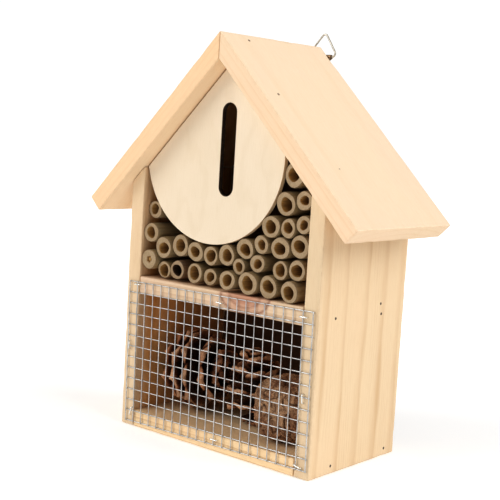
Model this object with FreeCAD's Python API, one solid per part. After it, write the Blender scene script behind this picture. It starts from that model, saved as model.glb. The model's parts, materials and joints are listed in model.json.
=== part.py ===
import FreeCAD, Part
import math
import os

# Insect hotel: a small pitched-roof wooden house. The upper room is stacked with hollow canes
# around a round butterfly panel, and the lower room holds cones and bark behind a wire mesh.
# The origin is at the centre of the underside, +Z is up and the open front faces -Y.
# All lengths are in millimetres.

# Wooden body
WIDTH = 140.0
DEPTH = 80.0
RIDGE_HEIGHT = 228.6
BOARD = 10.0
SHELF_TOP = 89.4
BACK_PANEL = 4.0

# Roof: two boards at 45 degrees, mitred at the ridge
ROOF_BOARD = 10.6
ROOF_HALF_SPAN = 96.0
ROOF_OVERHANG = 8.7

# Round panel with the butterfly slot, set just inside the front of the upper room
PANEL_THICKNESS = 3.0
PANEL_RECESS = 2.5
PANEL_RADIUS = 50.3
PANEL_CENTRE_X = -10.3
PANEL_CENTRE_Z = 163.9
SLOT_WIDTH = 10.1
SLOT_LOW = 140.9
SLOT_HIGH = 191.3
SLOT_X = 0.3

# Welded wire mesh over the lower room
MESH_PITCH = 6.38
MESH_COLUMNS = 21
MESH_ROWS = 13
MESH_WIRE = 0.65
MESH_OVERHANG = 0.3
MESH_CENTRE_X = 0.7
MESH_CENTRE_Z = 45.3
MESH_TILT = 0.9

# Staples that hold the mesh
STAPLE_WIRE = 0.7
STAPLE_CROWN = 4.8
STAPLE_LEG = 6.0

# Nails
NAIL_SHANK = 1.2
NAIL_HEAD = 1.5
NAIL_HEAD_THICKNESS = 0.4
NAIL_LENGTH = 22.0

# Wire hanging ring and its folded strap on the back, just under the ridge
RING_WIRE = 1.1
RING_HALF_WIDTH = 11.3
RING_HEIGHT = 14.8
RING_CORNER = 2.0
RING_LEAN = 8.5
HINGE_HEIGHT = 222.4
HINGE_OFFSET = 2.0
HINGE_CLEARANCE = 0.1
STRAP_WIDTH = 14.0
STRAP_END_WIDTH = 9.0
STRAP_SHOULDER = 1.6
STRAP_LENGTH = 8.5
STRAP_THICKNESS = 1.4
STRAP_BARREL = 2.8
SCREW_DROP = 4.7
SCREW_SHANK = 2.4
SCREW_HEAD = 4.6
SCREW_HEAD_HEIGHT = 1.1
SCREW_LENGTH = 14.0
SCREW_DRIVE = 2.4
SCREW_DRIVE_WIDTH = 0.6
SCREW_DRIVE_DEPTH = 0.7

# Canes: name, x, z, outer diameter, bore diameter and how far the cut end sits behind the
# front. A bore of zero is a cane closed by its pith. They are listed row by row from below.
CANES = [
    ("cane_a1", -54.0, 100.0, 11.9, 0.0, 0.5),
    ("cane_a2", -44.1, 95.0, 10.0, 6.7, 3.5),
    ("cane_a3", -33.5, 96.1, 11.1, 6.5, 3.0),
    ("cane_a4", -19.9, 96.0, 11.7, 7.2, 3.0),
    ("cane_a5", -9.0, 95.3, 10.1, 5.4, 4.0),
    ("cane_a6", 6.5, 95.8, 11.4, 6.3, 0.5),
    ("cane_a7", 21.2, 96.1, 13.2, 7.5, 0.5),
    ("cane_a8", 34.5, 95.8, 12.6, 6.9, 1.5),
    ("cane_a9", 49.4, 95.4, 11.8, 6.8, 0.5),
    ("cane_b1", -54.0, 115.4, 11.8, 6.4, 1.5),
    ("cane_b2", -44.3, 107.8, 12.5, 6.8, 2.0),
    ("cane_b3", -31.9, 110.3, 12.7, 6.9, 3.0),
    ("cane_b4", -19.7, 108.2, 11.8, 6.1, 2.5),
    ("cane_b5", -8.2, 107.3, 10.9, 6.7, 2.5),
    ("cane_b6", 3.4, 109.1, 12.2, 6.7, 2.5),
    ("cane_b7", 12.8, 104.0, 9.0, 4.8, 2.5),
    ("cane_b8", 16.4, 114.1, 12.2, 6.6, 2.5),
    ("cane_b9", 25.5, 107.2, 10.4, 5.2, 2.5),
    ("cane_b10", 27.4, 117.6, 10.5, 5.2, 2.5),
    ("cane_b11", 40.3, 117.1, 12.6, 6.8, 2.5),
    ("cane_b12", 41.1, 105.5, 10.6, 6.5, 2.5),
    ("cane_b13", 52.1, 106.8, 11.3, 6.7, 2.5),
    ("cane_b14", 53.0, 119.3, 12.4, 6.7, 2.5),
    ("cane_c1", -54.5, 128.5, 10.7, 5.8, 4.4),
    ("cane_c2", 33.5, 127.8, 12.4, 6.8, 2.0),
    ("cane_c3", 45.1, 128.1, 10.6, 5.8, 2.0),
    ("cane_c4", 55.0, 130.9, 9.8, 4.9, 2.0),
    ("cane_c5", 42.6, 140.6, 13.1, 7.3, 2.0),
    ("cane_c6", 54.4, 143.2, 10.8, 5.2, 2.0),
    ("cane_c7", 47.2, 156.0, 13.8, 7.9, 2.0),
]

# Pine cones: centre, lean of the axis from vertical, bearing of the lean, length and diameter
LARGE_CONE_CENTRE = (-33.0, -9.0, 34.5)
LARGE_CONE_LEAN = 84.0
LARGE_CONE_BEARING = 5.0
LARGE_CONE_LENGTH = 37.0
LARGE_CONE_DIAMETER = 48.5
SMALL_CONE_CENTRE = (3.4, -4.0, 31.6)
SMALL_CONE_LEAN = 0.0
SMALL_CONE_BEARING = 0.0
SMALL_CONE_LENGTH = 43.0
SMALL_CONE_DIAMETER = 35.0
CONE_ROWS = 7
CONE_SCALE_DEPTH = 0.2

# Chunk of bark at the front right of the lower room
BARK_CENTRE = (39.0, -18.0)
BARK_HEIGHT = 38.0
BARK_RADIUS = 19.0
BARK_LAYERS = 5
BARK_SIDES = 9

FRONT = -DEPTH / 2
BACK = DEPTH / 2
INNER_HALF = WIDTH / 2 - BOARD
SOFFIT_RIDGE = RIDGE_HEIGHT - ROOF_BOARD * math.sqrt(2)
SHELF_BOTTOM = SHELF_TOP - BOARD
ROOM_BACK = BACK - BACK_PANEL


def vec(x, y, z):
    return FreeCAD.Vector(x, y, z)


def box(low, high):
    size = [high[i] - low[i] for i in range(3)]
    return Part.makeBox(size[0], size[1], size[2], vec(*low))


def prism_along_y(outline, y_low, y_high):
    """A solid with an outline in X and Z, drawn out from y_low to y_high."""
    points = [vec(x, y_low, z) for x, z in outline]
    face = Part.Face(Part.makePolygon(points + [points[0]]))
    return face.extrude(vec(0, y_high - y_low, 0))


def rod(start, direction, length, diameter):
    return Part.makeCylinder(diameter / 2, length, start, direction)


def soffit(x):
    """Height of the underside of the roof at a distance x from the middle."""
    return SOFFIT_RIDGE - abs(x)


def floor_board():
    return box((-INNER_HALF, FRONT, 0), (INNER_HALF, BACK, BOARD))


def shelf_board():
    return box((-INNER_HALF, FRONT, SHELF_BOTTOM), (INNER_HALF, ROOM_BACK, SHELF_TOP))


def side_board(hand):
    outer = hand * WIDTH / 2
    inner = hand * INNER_HALF
    outline = [(outer, 0), (inner, 0), (inner, soffit(inner)), (outer, soffit(outer))]
    return prism_along_y(outline, FRONT, BACK)


def back_panel():
    outline = [(-INNER_HALF, BOARD), (INNER_HALF, BOARD)]
    outline += [(INNER_HALF, soffit(INNER_HALF)), (0, SOFFIT_RIDGE), (-INNER_HALF, soffit(INNER_HALF))]
    return prism_along_y(outline, ROOM_BACK, BACK)


def roof_board(hand):
    drop = ROOF_BOARD / math.sqrt(2)
    eave = (hand * ROOF_HALF_SPAN, RIDGE_HEIGHT - ROOF_HALF_SPAN)
    eave_inner = (eave[0] - hand * drop, eave[1] - drop)
    outline = [(0, RIDGE_HEIGHT), eave, eave_inner, (0, SOFFIT_RIDGE)]
    return prism_along_y(outline, FRONT - ROOF_OVERHANG, BACK)


def gable_panel():
    """A plywood disc cut to the two slopes of the roof, with an upright slot."""
    y_front = FRONT + PANEL_RECESS
    along = vec(0, 1, 0)
    disc = Part.makeCylinder(
        PANEL_RADIUS, PANEL_THICKNESS, vec(PANEL_CENTRE_X, y_front, PANEL_CENTRE_Z), along)
    low = SHELF_TOP
    reach = SOFFIT_RIDGE - low
    gable = prism_along_y(
        [(-reach, low), (reach, low), (0, SOFFIT_RIDGE)], y_front, y_front + PANEL_THICKNESS)
    radius = SLOT_WIDTH / 2
    slot = box(
        (SLOT_X - radius, y_front, SLOT_LOW + radius),
        (SLOT_X + radius, y_front + PANEL_THICKNESS, SLOT_HIGH - radius))
    for z in (SLOT_LOW + radius, SLOT_HIGH - radius):
        end = Part.makeCylinder(radius, PANEL_THICKNESS, vec(SLOT_X, y_front, z), along)
        slot = slot.fuse(end)
    return disc.common(gable).cut(slot.removeSplitter())


def cane(x, z, outer, bore, recess):
    """A length of cane that reaches from near the front to the back panel."""
    start = vec(x, FRONT + recess, z)
    length = ROOM_BACK - start.y
    along = vec(0, 1, 0)
    wall = rod(start, along, length, outer)
    if bore > 0:
        wall = wall.cut(rod(start, along, length, bore))
    return wall


def lay_on_front(shape):
    """Turn a shape a little, as the mesh was nailed on, and move it over the lower room."""
    shape.rotate(vec(0, 0, 0), vec(0, 1, 0), -MESH_TILT)
    shape.translate(vec(MESH_CENTRE_X, 0, MESH_CENTRE_Z))
    return shape


def wire_mesh():
    """Two layers of straight wires that touch where they cross."""
    half_width = MESH_COLUMNS * MESH_PITCH / 2
    half_height = MESH_ROWS * MESH_PITCH / 2
    y_rows = FRONT - MESH_WIRE / 2
    y_columns = y_rows - MESH_WIRE
    wires = []
    for row in range(MESH_ROWS + 1):
        start = vec(-half_width - MESH_OVERHANG, y_rows, row * MESH_PITCH - half_height)
        wires.append(rod(start, vec(1, 0, 0), 2 * (half_width + MESH_OVERHANG), MESH_WIRE))
    for column in range(MESH_COLUMNS + 1):
        start = vec(column * MESH_PITCH - half_width, y_columns, -half_height - MESH_OVERHANG)
        wires.append(rod(start, vec(0, 0, 1), 2 * (half_height + MESH_OVERHANG), MESH_WIRE))
    return lay_on_front(Part.makeCompound(wires))


def staple(column, row, turn):
    """A U of wire over the mesh, placed in mesh cells; turn is the crown's angle from a row."""
    y_crown = FRONT - 2 * MESH_WIRE - STAPLE_WIRE / 2
    half = STAPLE_CROWN / 2
    bend = STAPLE_WIRE
    shape = rod(vec(-half + bend, y_crown, 0), vec(1, 0, 0), STAPLE_CROWN - 2 * bend, STAPLE_WIRE)
    for hand in (-1, 1):
        circle = Part.Circle(vec(hand * (half - bend), y_crown, 0), vec(1, 0, 0), STAPLE_WIRE / 2)
        face = Part.Face(Part.Wire(circle.toShape()))
        pivot = vec(hand * (half - bend), y_crown + bend, 0)
        corner = face.revolve(pivot, vec(0, 0, hand), 90)
        leg = rod(vec(hand * half, y_crown + bend, 0), vec(0, 1, 0), STAPLE_LEG, STAPLE_WIRE)
        shape = shape.fuse([corner, leg])
    shape = shape.removeSplitter()
    shape.rotate(vec(0, 0, 0), vec(0, 1, 0), -turn)
    x = (column - MESH_COLUMNS / 2) * MESH_PITCH
    z = (row - MESH_ROWS / 2) * MESH_PITCH
    shape.translate(vec(x, 0, z))
    return shape


def staples():
    places = [
        (1.0, 12.8, 3), (11.0, 12.45, -4), (20.05, 12.5, 1),
        (0.25, 7.1, 88), (20.4, 5.9, 94),
        (0.7, 0.95, 72), (11.05, 0.5, -2), (20.2, 0.3, -14),
    ]
    group = Part.makeCompound([staple(*place) for place in places])
    return lay_on_front(group)


def nail(head_centre, direction):
    """A round-headed nail whose head lies flush with the surface at head_centre."""
    head = rod(head_centre, direction, NAIL_HEAD_THICKNESS, NAIL_HEAD)
    shank = rod(head_centre, direction, NAIL_LENGTH, NAIL_SHANK)
    return head.fuse(shank).removeSplitter()


def wall_nails():
    """Nails through the side boards into the ends of the shelf and the floor."""
    places = [(-25.0, 83.6), (16.4, 87.8), (17.5, 82.1), (-20.8, 4.4), (30.0, 4.2)]
    nails = []
    for hand in (-1, 1):
        for y, z in places:
            nails.append(nail(vec(hand * WIDTH / 2, y, z), vec(-hand, 0, 0)))
    return Part.makeCompound(nails)


def roof_nails():
    """Nails near the front through the roof into the side boards, the mitre and the round panel."""
    side_x = WIDTH / 2 - BOARD / 4
    side_y = -28.0
    ridge_x = 3.5
    ridge_y = -30.7
    ridge_stagger = 2.0
    panel_x = 31.9
    panel_y = FRONT + PANEL_RECESS + PANEL_THICKNESS / 2
    nails = []
    for hand in (-1, 1):
        side = vec(hand * side_x, side_y, RIDGE_HEIGHT - side_x - NAIL_HEAD_THICKNESS)
        ridge = vec(hand * ridge_x, ridge_y + hand * ridge_stagger, RIDGE_HEIGHT - ridge_x)
        panel = vec(hand * panel_x, panel_y, RIDGE_HEIGHT - panel_x)
        nails.append(nail(side, vec(-hand * 0.15, 0, -1)))
        nails.append(nail(ridge, vec(-hand, 0, -1)))
        nails.append(nail(panel, vec(-hand, 0, -1)))
    return Part.makeCompound(nails)


def hanging_ring():
    """A triangle of wire with rounded corners that swings in the strap's fold."""
    corners = [vec(-RING_HALF_WIDTH, 0, 0), vec(RING_HALF_WIDTH, 0, 0), vec(0, 0, RING_HEIGHT)]
    edges = []
    ends = []
    for i, corner in enumerate(corners):
        before = (corners[i - 1] - corner).normalize()
        after = (corners[(i + 1) % 3] - corner).normalize()
        half_angle = before.getAngle(after) / 2
        cut = RING_CORNER / math.tan(half_angle)
        bisector = (before + after).normalize()
        middle = corner + bisector * (RING_CORNER / math.sin(half_angle) - RING_CORNER)
        arc = Part.Arc(corner + before * cut, middle, corner + after * cut)
        ends.append((corner + before * cut, corner + after * cut))
        edges.append(arc.toShape())
    for i in range(3):
        edges.append(Part.LineSegment(ends[i][1], ends[(i + 1) % 3][0]).toShape())
    path = Part.Wire(Part.__sortEdges__(edges))
    first = path.Edges[0]
    start = first.valueAt(first.FirstParameter)
    tangent = first.tangentAt(first.FirstParameter)
    profile = Part.Wire(Part.Circle(start, tangent, RING_WIRE / 2).toShape())
    ring = path.makePipeShell([profile], True, False)
    ring.rotate(vec(0, 0, 0), vec(-1, 0, 0), RING_LEAN)
    ring.translate(vec(0, BACK + HINGE_OFFSET, HINGE_HEIGHT))
    return ring


def hanger_strap():
    """A folded strap: a barrel round the ring's wire and a plate that narrows below it."""
    axis_y = BACK + HINGE_OFFSET
    left = vec(-STRAP_WIDTH / 2, axis_y, HINGE_HEIGHT)
    along = vec(1, 0, 0)
    barrel = rod(left, along, STRAP_WIDTH, STRAP_BARREL)
    outline = [
        vec(-STRAP_WIDTH / 2, BACK, HINGE_HEIGHT),
        vec(STRAP_WIDTH / 2, BACK, HINGE_HEIGHT),
        vec(STRAP_WIDTH / 2, BACK, HINGE_HEIGHT - STRAP_SHOULDER),
        vec(STRAP_END_WIDTH / 2, BACK, HINGE_HEIGHT - STRAP_LENGTH),
        vec(-STRAP_END_WIDTH / 2, BACK, HINGE_HEIGHT - STRAP_LENGTH),
        vec(-STRAP_WIDTH / 2, BACK, HINGE_HEIGHT - STRAP_SHOULDER)]
    face = Part.Face(Part.makePolygon(outline + [outline[0]]))
    plate = face.extrude(vec(0, STRAP_THICKNESS, 0))
    hole = rod(left, along, STRAP_WIDTH, RING_WIRE + 2 * HINGE_CLEARANCE)
    screw_hole = rod(vec(0, BACK, HINGE_HEIGHT - SCREW_DROP), vec(0, 1, 0), STRAP_THICKNESS, SCREW_SHANK)
    return plate.fuse(barrel).removeSplitter().cut(hole).cut(screw_hole)


def hanger_screw():
    head_seat = BACK + STRAP_THICKNESS
    centre = vec(0, head_seat, HINGE_HEIGHT - SCREW_DROP)
    head = rod(centre, vec(0, 1, 0), SCREW_HEAD_HEIGHT, SCREW_HEAD)
    shank = rod(centre, vec(0, -1, 0), SCREW_LENGTH, SCREW_SHANK)
    screw = head.fuse(shank).removeSplitter()
    top = head_seat + SCREW_HEAD_HEIGHT
    half = SCREW_DRIVE / 2
    slim = SCREW_DRIVE_WIDTH / 2
    for wide, tall in ((half, slim), (slim, half)):
        recess = box(
            (-wide, top - SCREW_DRIVE_DEPTH, centre.z - tall), (wide, top, centre.z + tall))
        screw = screw.cut(recess)
    return screw


def pine_cone(centre, lean, bearing, length, diameter):
    """A spindle whose side steps in and out like rows of open scales."""
    radius = diameter / 2
    step = length / CONE_ROWS
    profile = [vec(0, 0, -length / 2)]
    for row in range(CONE_ROWS):
        low = -length / 2 + row * step
        middle = (low + step / 2) / (length / 2)
        full = radius * math.sqrt(1 - middle * middle)
        profile.append(vec(full * (1 - CONE_SCALE_DEPTH), 0, low + step * 0.1))
        profile.append(vec(full, 0, low + step * 0.8))
    profile.append(vec(0, 0, length / 2))
    face = Part.Face(Part.makePolygon(profile + [profile[0]]))
    cone = face.revolve(vec(0, 0, 0), vec(0, 0, 1), 360)
    cone.rotate(vec(0, 0, 0), vec(0, 1, 0), lean)
    cone.rotate(vec(0, 0, 0), vec(0, 0, 1), bearing)
    cone.translate(vec(*centre))
    return cone


def bark_chunk():
    """A rough lump that narrows towards its top, standing on the floor board."""
    wires = []
    for layer in range(BARK_LAYERS):
        height = layer / (BARK_LAYERS - 1)
        swell = 0.78 + 0.22 * math.sin(math.pi * (0.15 + 0.65 * height))
        if layer == BARK_LAYERS - 1:
            swell = 0.55
        points = []
        for side in range(BARK_SIDES):
            angle = 2 * math.pi * side / BARK_SIDES
            rough = 1 + 0.06 * math.sin(3 * angle + 1.7 * layer)
            reach = BARK_RADIUS * swell * rough
            x = BARK_CENTRE[0] + reach * math.cos(angle)
            y = BARK_CENTRE[1] + reach * math.sin(angle)
            points.append(vec(x, y, BOARD + BARK_HEIGHT * height))
        wires.append(Part.makePolygon(points + [points[0]]))
    return Part.makeLoft(wires, True, True)


def write(name, shape):
    shape.exportStep("parts/" + name + ".step")
    print(name, "solids", len(shape.Solids), "valid", shape.isValid(), "volume", round(shape.Volume, 1))


os.makedirs("parts", exist_ok=True)
write("floor_board", floor_board())
write("shelf_board", shelf_board())
write("side_left", side_board(-1))
write("side_right", side_board(1))
write("back_panel", back_panel())
write("roof_left", roof_board(-1))
write("roof_right", roof_board(1))
write("gable_panel", gable_panel())
for cane_name, cane_x, cane_z, cane_outer, cane_bore, cane_recess in CANES:
    write(cane_name, cane(cane_x, cane_z, cane_outer, cane_bore, cane_recess))
write("wire_mesh", wire_mesh())
write("staples", staples())
write("wall_nails", wall_nails())
write("roof_nails", roof_nails())
write("pine_cone_large", pine_cone(
    LARGE_CONE_CENTRE, LARGE_CONE_LEAN, LARGE_CONE_BEARING, LARGE_CONE_LENGTH, LARGE_CONE_DIAMETER))
write("pine_cone_small", pine_cone(
    SMALL_CONE_CENTRE, SMALL_CONE_LEAN, SMALL_CONE_BEARING, SMALL_CONE_LENGTH, SMALL_CONE_DIAMETER))
write("bark_chunk", bark_chunk())
write("hanger_strap", hanger_strap())
write("hanger_screw", hanger_screw())
write("hanging_ring", hanging_ring())
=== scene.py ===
import json
import math
import random

import bmesh
import bpy
import numpy as np
from mathutils import Matrix, Vector, noise


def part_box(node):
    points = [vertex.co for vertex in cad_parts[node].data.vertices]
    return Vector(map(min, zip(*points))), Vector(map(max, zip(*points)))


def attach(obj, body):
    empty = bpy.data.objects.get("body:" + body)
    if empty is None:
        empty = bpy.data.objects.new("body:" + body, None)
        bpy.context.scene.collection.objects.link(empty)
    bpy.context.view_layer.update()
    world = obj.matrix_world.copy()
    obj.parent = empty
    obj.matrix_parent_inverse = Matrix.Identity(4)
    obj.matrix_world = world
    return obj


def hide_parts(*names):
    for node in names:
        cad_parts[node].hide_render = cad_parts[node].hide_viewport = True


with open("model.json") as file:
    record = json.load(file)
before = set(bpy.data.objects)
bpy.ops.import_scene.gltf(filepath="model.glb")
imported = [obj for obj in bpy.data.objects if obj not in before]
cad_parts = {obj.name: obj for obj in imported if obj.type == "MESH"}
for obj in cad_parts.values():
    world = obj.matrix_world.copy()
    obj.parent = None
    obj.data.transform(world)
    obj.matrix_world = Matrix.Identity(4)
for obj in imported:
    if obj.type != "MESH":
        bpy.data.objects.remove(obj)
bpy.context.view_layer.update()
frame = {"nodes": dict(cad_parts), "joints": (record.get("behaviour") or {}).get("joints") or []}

# Looks of the insect hotel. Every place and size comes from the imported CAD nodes, in metres.

NODES = frame["nodes"]
CANE_NODES = sorted(n for n in NODES if n.startswith("cane_"))
FIRST_CANE_SEED = 31


# ---- camera, light and floor

CAMERA_AT = (0.38296, -0.47098, 0.17789)
CAMERA_TARGET = (0.00026, -0.01383, 0.11045)
CAMERA_ROLL = 3.39
CAMERA_LENS = 76.90
CAMERA_SENSOR = 36.0
CAMERA_CLIP = (0.01, 20.0)
DISPLAY_GAMMA = 0.8
SUN_COLOUR = (1.0, 0.99, 0.97)
# Each broad light: the way to it, its spread in degrees and its strength
SUNS = {"front_light": ((-0.55, -0.80, 0.65), 40, 1.40), "right_light": ((1.0, 0.25, 0.75), 50, 1.72)}
SKY_SEEN = ((1.0, 1.0, 1.0, 1.0), 1.05)
SKY_LIT = ((1.0, 0.99, 0.975, 1.0), 0.50)
FLOOR_RADIUS = 3.0
FLOOR_DROP = 0.0002
FLOOR_LOOK = {"Base Color": (0.85, 0.85, 0.85, 1), "Roughness": 0.9, "Specular IOR Level": 0.1,
              "Emission Color": (0.97, 0.985, 1.0, 1), "Emission Strength": 0.33}


def linked(name, data):
    """A new object in the scene."""
    made = bpy.data.objects.new(name, data)
    bpy.context.scene.collection.objects.link(made)
    return made


def aimed(direction):
    """A turn that makes a camera or a light look in a direction."""
    return Vector(direction).to_track_quat("-Z", "Y").to_matrix().to_4x4()


def make_camera():
    data = bpy.data.cameras.new("camera")
    data.sensor_width = CAMERA_SENSOR
    data.lens = CAMERA_LENS
    data.clip_start, data.clip_end = CAMERA_CLIP
    camera = linked("camera", data)
    turn = aimed(Vector(CAMERA_TARGET) - Vector(CAMERA_AT))
    roll = Matrix.Rotation(math.radians(CAMERA_ROLL), 4, "Z")
    camera.matrix_world = Matrix.Translation(CAMERA_AT) @ turn @ roll
    bpy.context.scene.camera = camera


def sun(name, towards_light, spread, strength):
    """A broad soft light, the same over the whole floor."""
    data = bpy.data.lights.new(name, "SUN")
    data.angle = math.radians(spread)
    data.energy = strength
    data.color = SUN_COLOUR
    linked(name, data).matrix_world = aimed(-Vector(towards_light))


def make_world():
    """White all round for the eye, and a softer white for the light that it gives."""
    world = bpy.data.worlds.new("studio")
    bpy.context.scene.world = world
    world.use_nodes = True
    tree = world.node_tree
    tree.nodes.clear()
    path = tree.nodes.new("ShaderNodeLightPath")
    mix = tree.nodes.new("ShaderNodeMixShader")
    out = tree.nodes.new("ShaderNodeOutputWorld")
    tree.links.new(path.outputs["Is Camera Ray"], mix.inputs[0])
    for place, (colour, strength) in ((1, SKY_LIT), (2, SKY_SEEN)):
        sky = tree.nodes.new("ShaderNodeBackground")
        sky.inputs["Color"].default_value = colour
        sky.inputs["Strength"].default_value = strength
        tree.links.new(sky.outputs[0], mix.inputs[place])
    tree.links.new(mix.outputs[0], out.inputs[0])


def make_floor():
    mesh = bpy.data.meshes.new("floor")
    grid = bmesh.new()
    bmesh.ops.create_circle(grid, cap_ends=True, segments=96, radius=FLOOR_RADIUS)
    grid.to_mesh(mesh)
    grid.free()
    floor = linked("floor", mesh)
    floor.location.z = -FLOOR_DROP
    mat = bpy.data.materials.new("floor")
    mat.use_nodes = True
    shader = mat.node_tree.nodes["Principled BSDF"]
    for key, value in FLOOR_LOOK.items():
        shader.inputs[key].default_value = value
    mesh.materials.append(mat)


def make_studio():
    bpy.context.scene.view_settings.view_transform = "Standard"
    bpy.context.scene.view_settings.gamma = DISPLAY_GAMMA
    make_camera()
    make_world()
    make_floor()
    for name, values in SUNS.items():
        sun(name, *values)


# ---- node materials

class Shade:
    """Short names for the nodes of one material."""

    def __init__(self, name):
        self.material = bpy.data.materials.new(name)
        self.material.use_nodes = True
        self.tree = self.material.node_tree
        self.bsdf = self.tree.nodes["Principled BSDF"]
        self.colour = None

    def _put(self, socket, value):
        if isinstance(value, bpy.types.NodeSocket):
            self.tree.links.new(value, socket)
        elif value is not None:
            socket.default_value = (*value, 1.0) if socket.type == "RGBA" else value

    def _node(self, kind, inputs, **settings):
        """A node with its settings and inputs; inputs pairs an input's name or number with its value."""
        node = self.tree.nodes.new("ShaderNode" + kind)
        for key, value in settings.items():
            setattr(node, key, value)
        for key, value in inputs.items():
            self._put(node.inputs[key], value)
        return node

    def attribute(self, name, output="Fac"):
        return self._node("Attribute", {}, attribute_name=name).outputs[output]

    def coordinate(self):
        return self._node("TexCoord", {}).outputs["Object"]

    def math(self, operation, a, b=None, clamp=False):
        return self._node("Math", {0: a, 1: b}, operation=operation, use_clamp=clamp).outputs[0]

    def times(self, a, b):
        return self.math("MULTIPLY", a, b)

    def plus(self, a, b):
        return self.math("ADD", a, b)

    def stretch(self, vector, by):
        return self._node("VectorMath", {0: vector, 1: by}, operation="MULTIPLY").outputs["Vector"]

    def length(self, x, y, z):
        vector = self._node("CombineXYZ", {0: x, 1: y, 2: z}).outputs[0]
        return self._node("VectorMath", {0: vector}, operation="LENGTH").outputs["Value"]

    def split(self, vector):
        return self._node("SeparateXYZ", {0: vector}).outputs

    def position(self):
        """The piece's own position in millimetres, along its grain first."""
        place = {0: self.attribute("grain", "Vector"), "Scale": 1000.0}
        return self._node("VectorMath", place, operation="SCALE").outputs["Vector"]

    def noise(self, vector, scale, detail=3.0, roughness=0.5, distortion=0.0):
        return self._node("TexNoise", {"Vector": vector, "Scale": scale, "Detail": detail,
                                       "Roughness": roughness, "Distortion": distortion}).outputs["Fac"]

    def grain(self, along, across, detail, roughness, distortion=0.0):
        """Noise that is stretched along the grain."""
        return self.noise(self.stretch(self.position(), (along, across, across)), 1.0, detail, roughness,
                          distortion)

    def cells(self, vector, scale):
        return self._node("TexVoronoi", {"Vector": vector, "Scale": scale}).outputs["Distance"]

    def ramp(self, factor, stops):
        node = self._node("ValToRGB", {0: factor})
        points = node.color_ramp.elements
        while len(points) < len(stops):
            points.new(0.5)
        for point, (place, colour) in zip(points, stops):
            point.position = place
            point.color = (*(colour if isinstance(colour, tuple) else (colour,) * 3), 1.0)
        return node.outputs["Color"]

    def fit(self, value, low, high, to_low=0.0, to_high=1.0):
        return self._node("MapRange", {"Value": value, "From Min": low, "From Max": high,
                                       "To Min": to_low, "To Max": to_high}).outputs["Result"]

    def mix(self, factor, a, b, kind="MIX"):
        node = self._node("Mix", {}, data_type="RGBA", blend_type=kind)
        for number, value in ((0, factor), (6, a), (7, b)):
            self._put(node.inputs[number], value)
        return node.outputs[2]

    def lay(self, share, layer, kind="MIX"):
        """Lays a colour over the one so far."""
        self.colour = self.mix(share, self.colour, layer, kind)

    def over(self, mask, low, high, share, layer):
        """Lays a colour on where the mask rises from low to high, up to a share."""
        self.lay(self.fit(mask, low, high, 0.0, share), layer)

    def finish(self, roughness, bump, bump_depth, metal=0.0, specular=0.35):
        normal = self._node("Bump", {"Strength": 1.0, "Distance": bump_depth, "Height": bump}).outputs[0]
        for key, value in (("Base Color", self.colour), ("Roughness", roughness), ("Metallic", metal),
                           ("Specular IOR Level", specular), ("Normal", normal)):
            self._put(self.bsdf.inputs[key], value)
        return self.material


def shade_of(colour, amount):
    return tuple(c * amount for c in colour)


RING_WANDER = 1.5
FINE_RING = 2.3


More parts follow.
